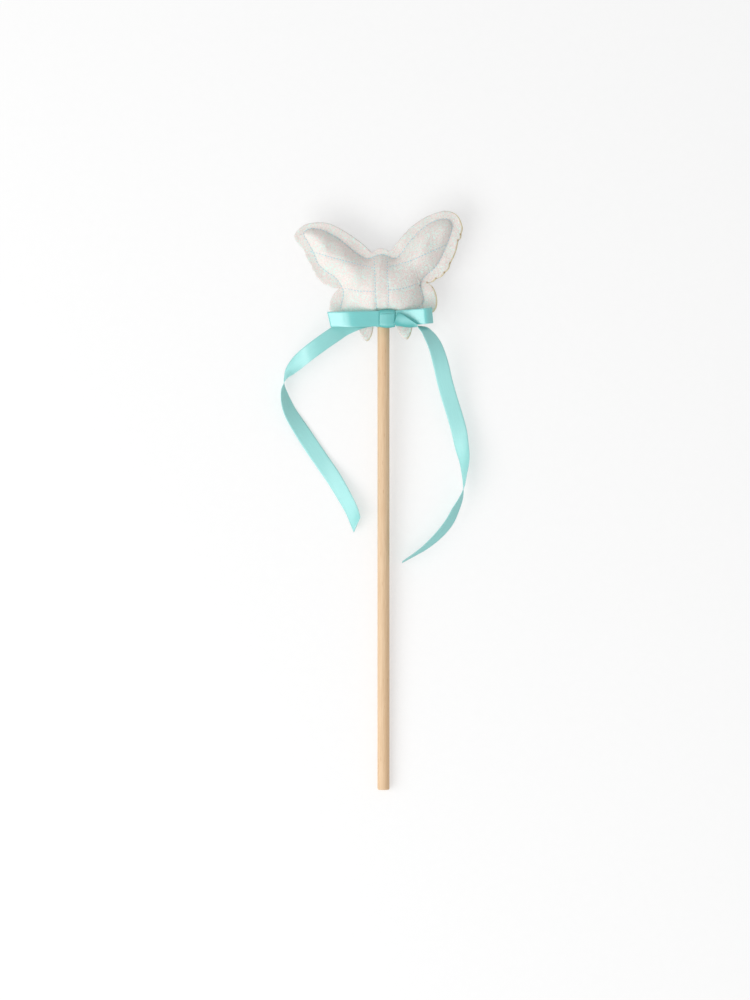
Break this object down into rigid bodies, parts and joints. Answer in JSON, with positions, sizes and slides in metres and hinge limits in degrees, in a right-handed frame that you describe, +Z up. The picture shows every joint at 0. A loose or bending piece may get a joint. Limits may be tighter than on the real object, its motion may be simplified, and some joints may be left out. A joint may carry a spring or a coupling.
{
  "type": "toy magic wand",
  "caption": "Toy wand with a stuffed butterfly head of white glitter cloth on a plain wooden dowel, tied with a turquoise satin ribbon bow whose tails trail beside it.",
  "frame": {"origin": "on the table under the middle of the head, at the flat on the head's back", "axes": "+Y along the dowel towards the head, +Z up out of the table through the head's front, +X to the right seen from above"},
  "size_m": [0.1259, 0.3866, 0.0288],
  "materials": {
    "dowel_wood": "satin",
    "glitter_cloth": "satin",
    "fibre_fill": "matte",
    "sewing_thread": "satin",
    "satin_ribbon": "satin"
  },
  "bodies": {
    "wand": {"dowel": "dowel_wood", "stuffing": "fibre_fill", "front_panel": "glitter_cloth", "back_panel": "glitter_cloth", "seam_thread_front": "sewing_thread", "seam_thread_back": "sewing_thread", "body_thread_left": "sewing_thread", "body_thread_right": "sewing_thread", "vein_thread_upper_left": "sewing_thread", "vein_thread_upper_right": "sewing_thread", "vein_thread_lower_left": "sewing_thread", "vein_thread_lower_right": "sewing_thread", "ribbon_wrap": "satin_ribbon", "bow_knot": "satin_ribbon", "bow_loop_left": "satin_ribbon", "bow_loop_right": "satin_ribbon", "tail_root_left": "satin_ribbon", "tail_root_right": "satin_ribbon"},
    "left_tail": {"tail_left": "satin_ribbon"},
    "right_tail": {"tail_right": "satin_ribbon"}
  },
  "joints": [
    {"name": "left_tail_swing", "type": "hinge", "parent": "wand", "child": "left_tail", "pos_m": [-0.02667, -0.02969, 0.0141], "axis": [0, 0, 1], "range_deg": [-25, 3]},
    {"name": "right_tail_swing", "type": "hinge", "parent": "wand", "child": "right_tail", "pos_m": [0.02405, -0.02869, 0.0241], "axis": [0, 0, 1], "range_deg": [-1.5, 30]}
  ]
}
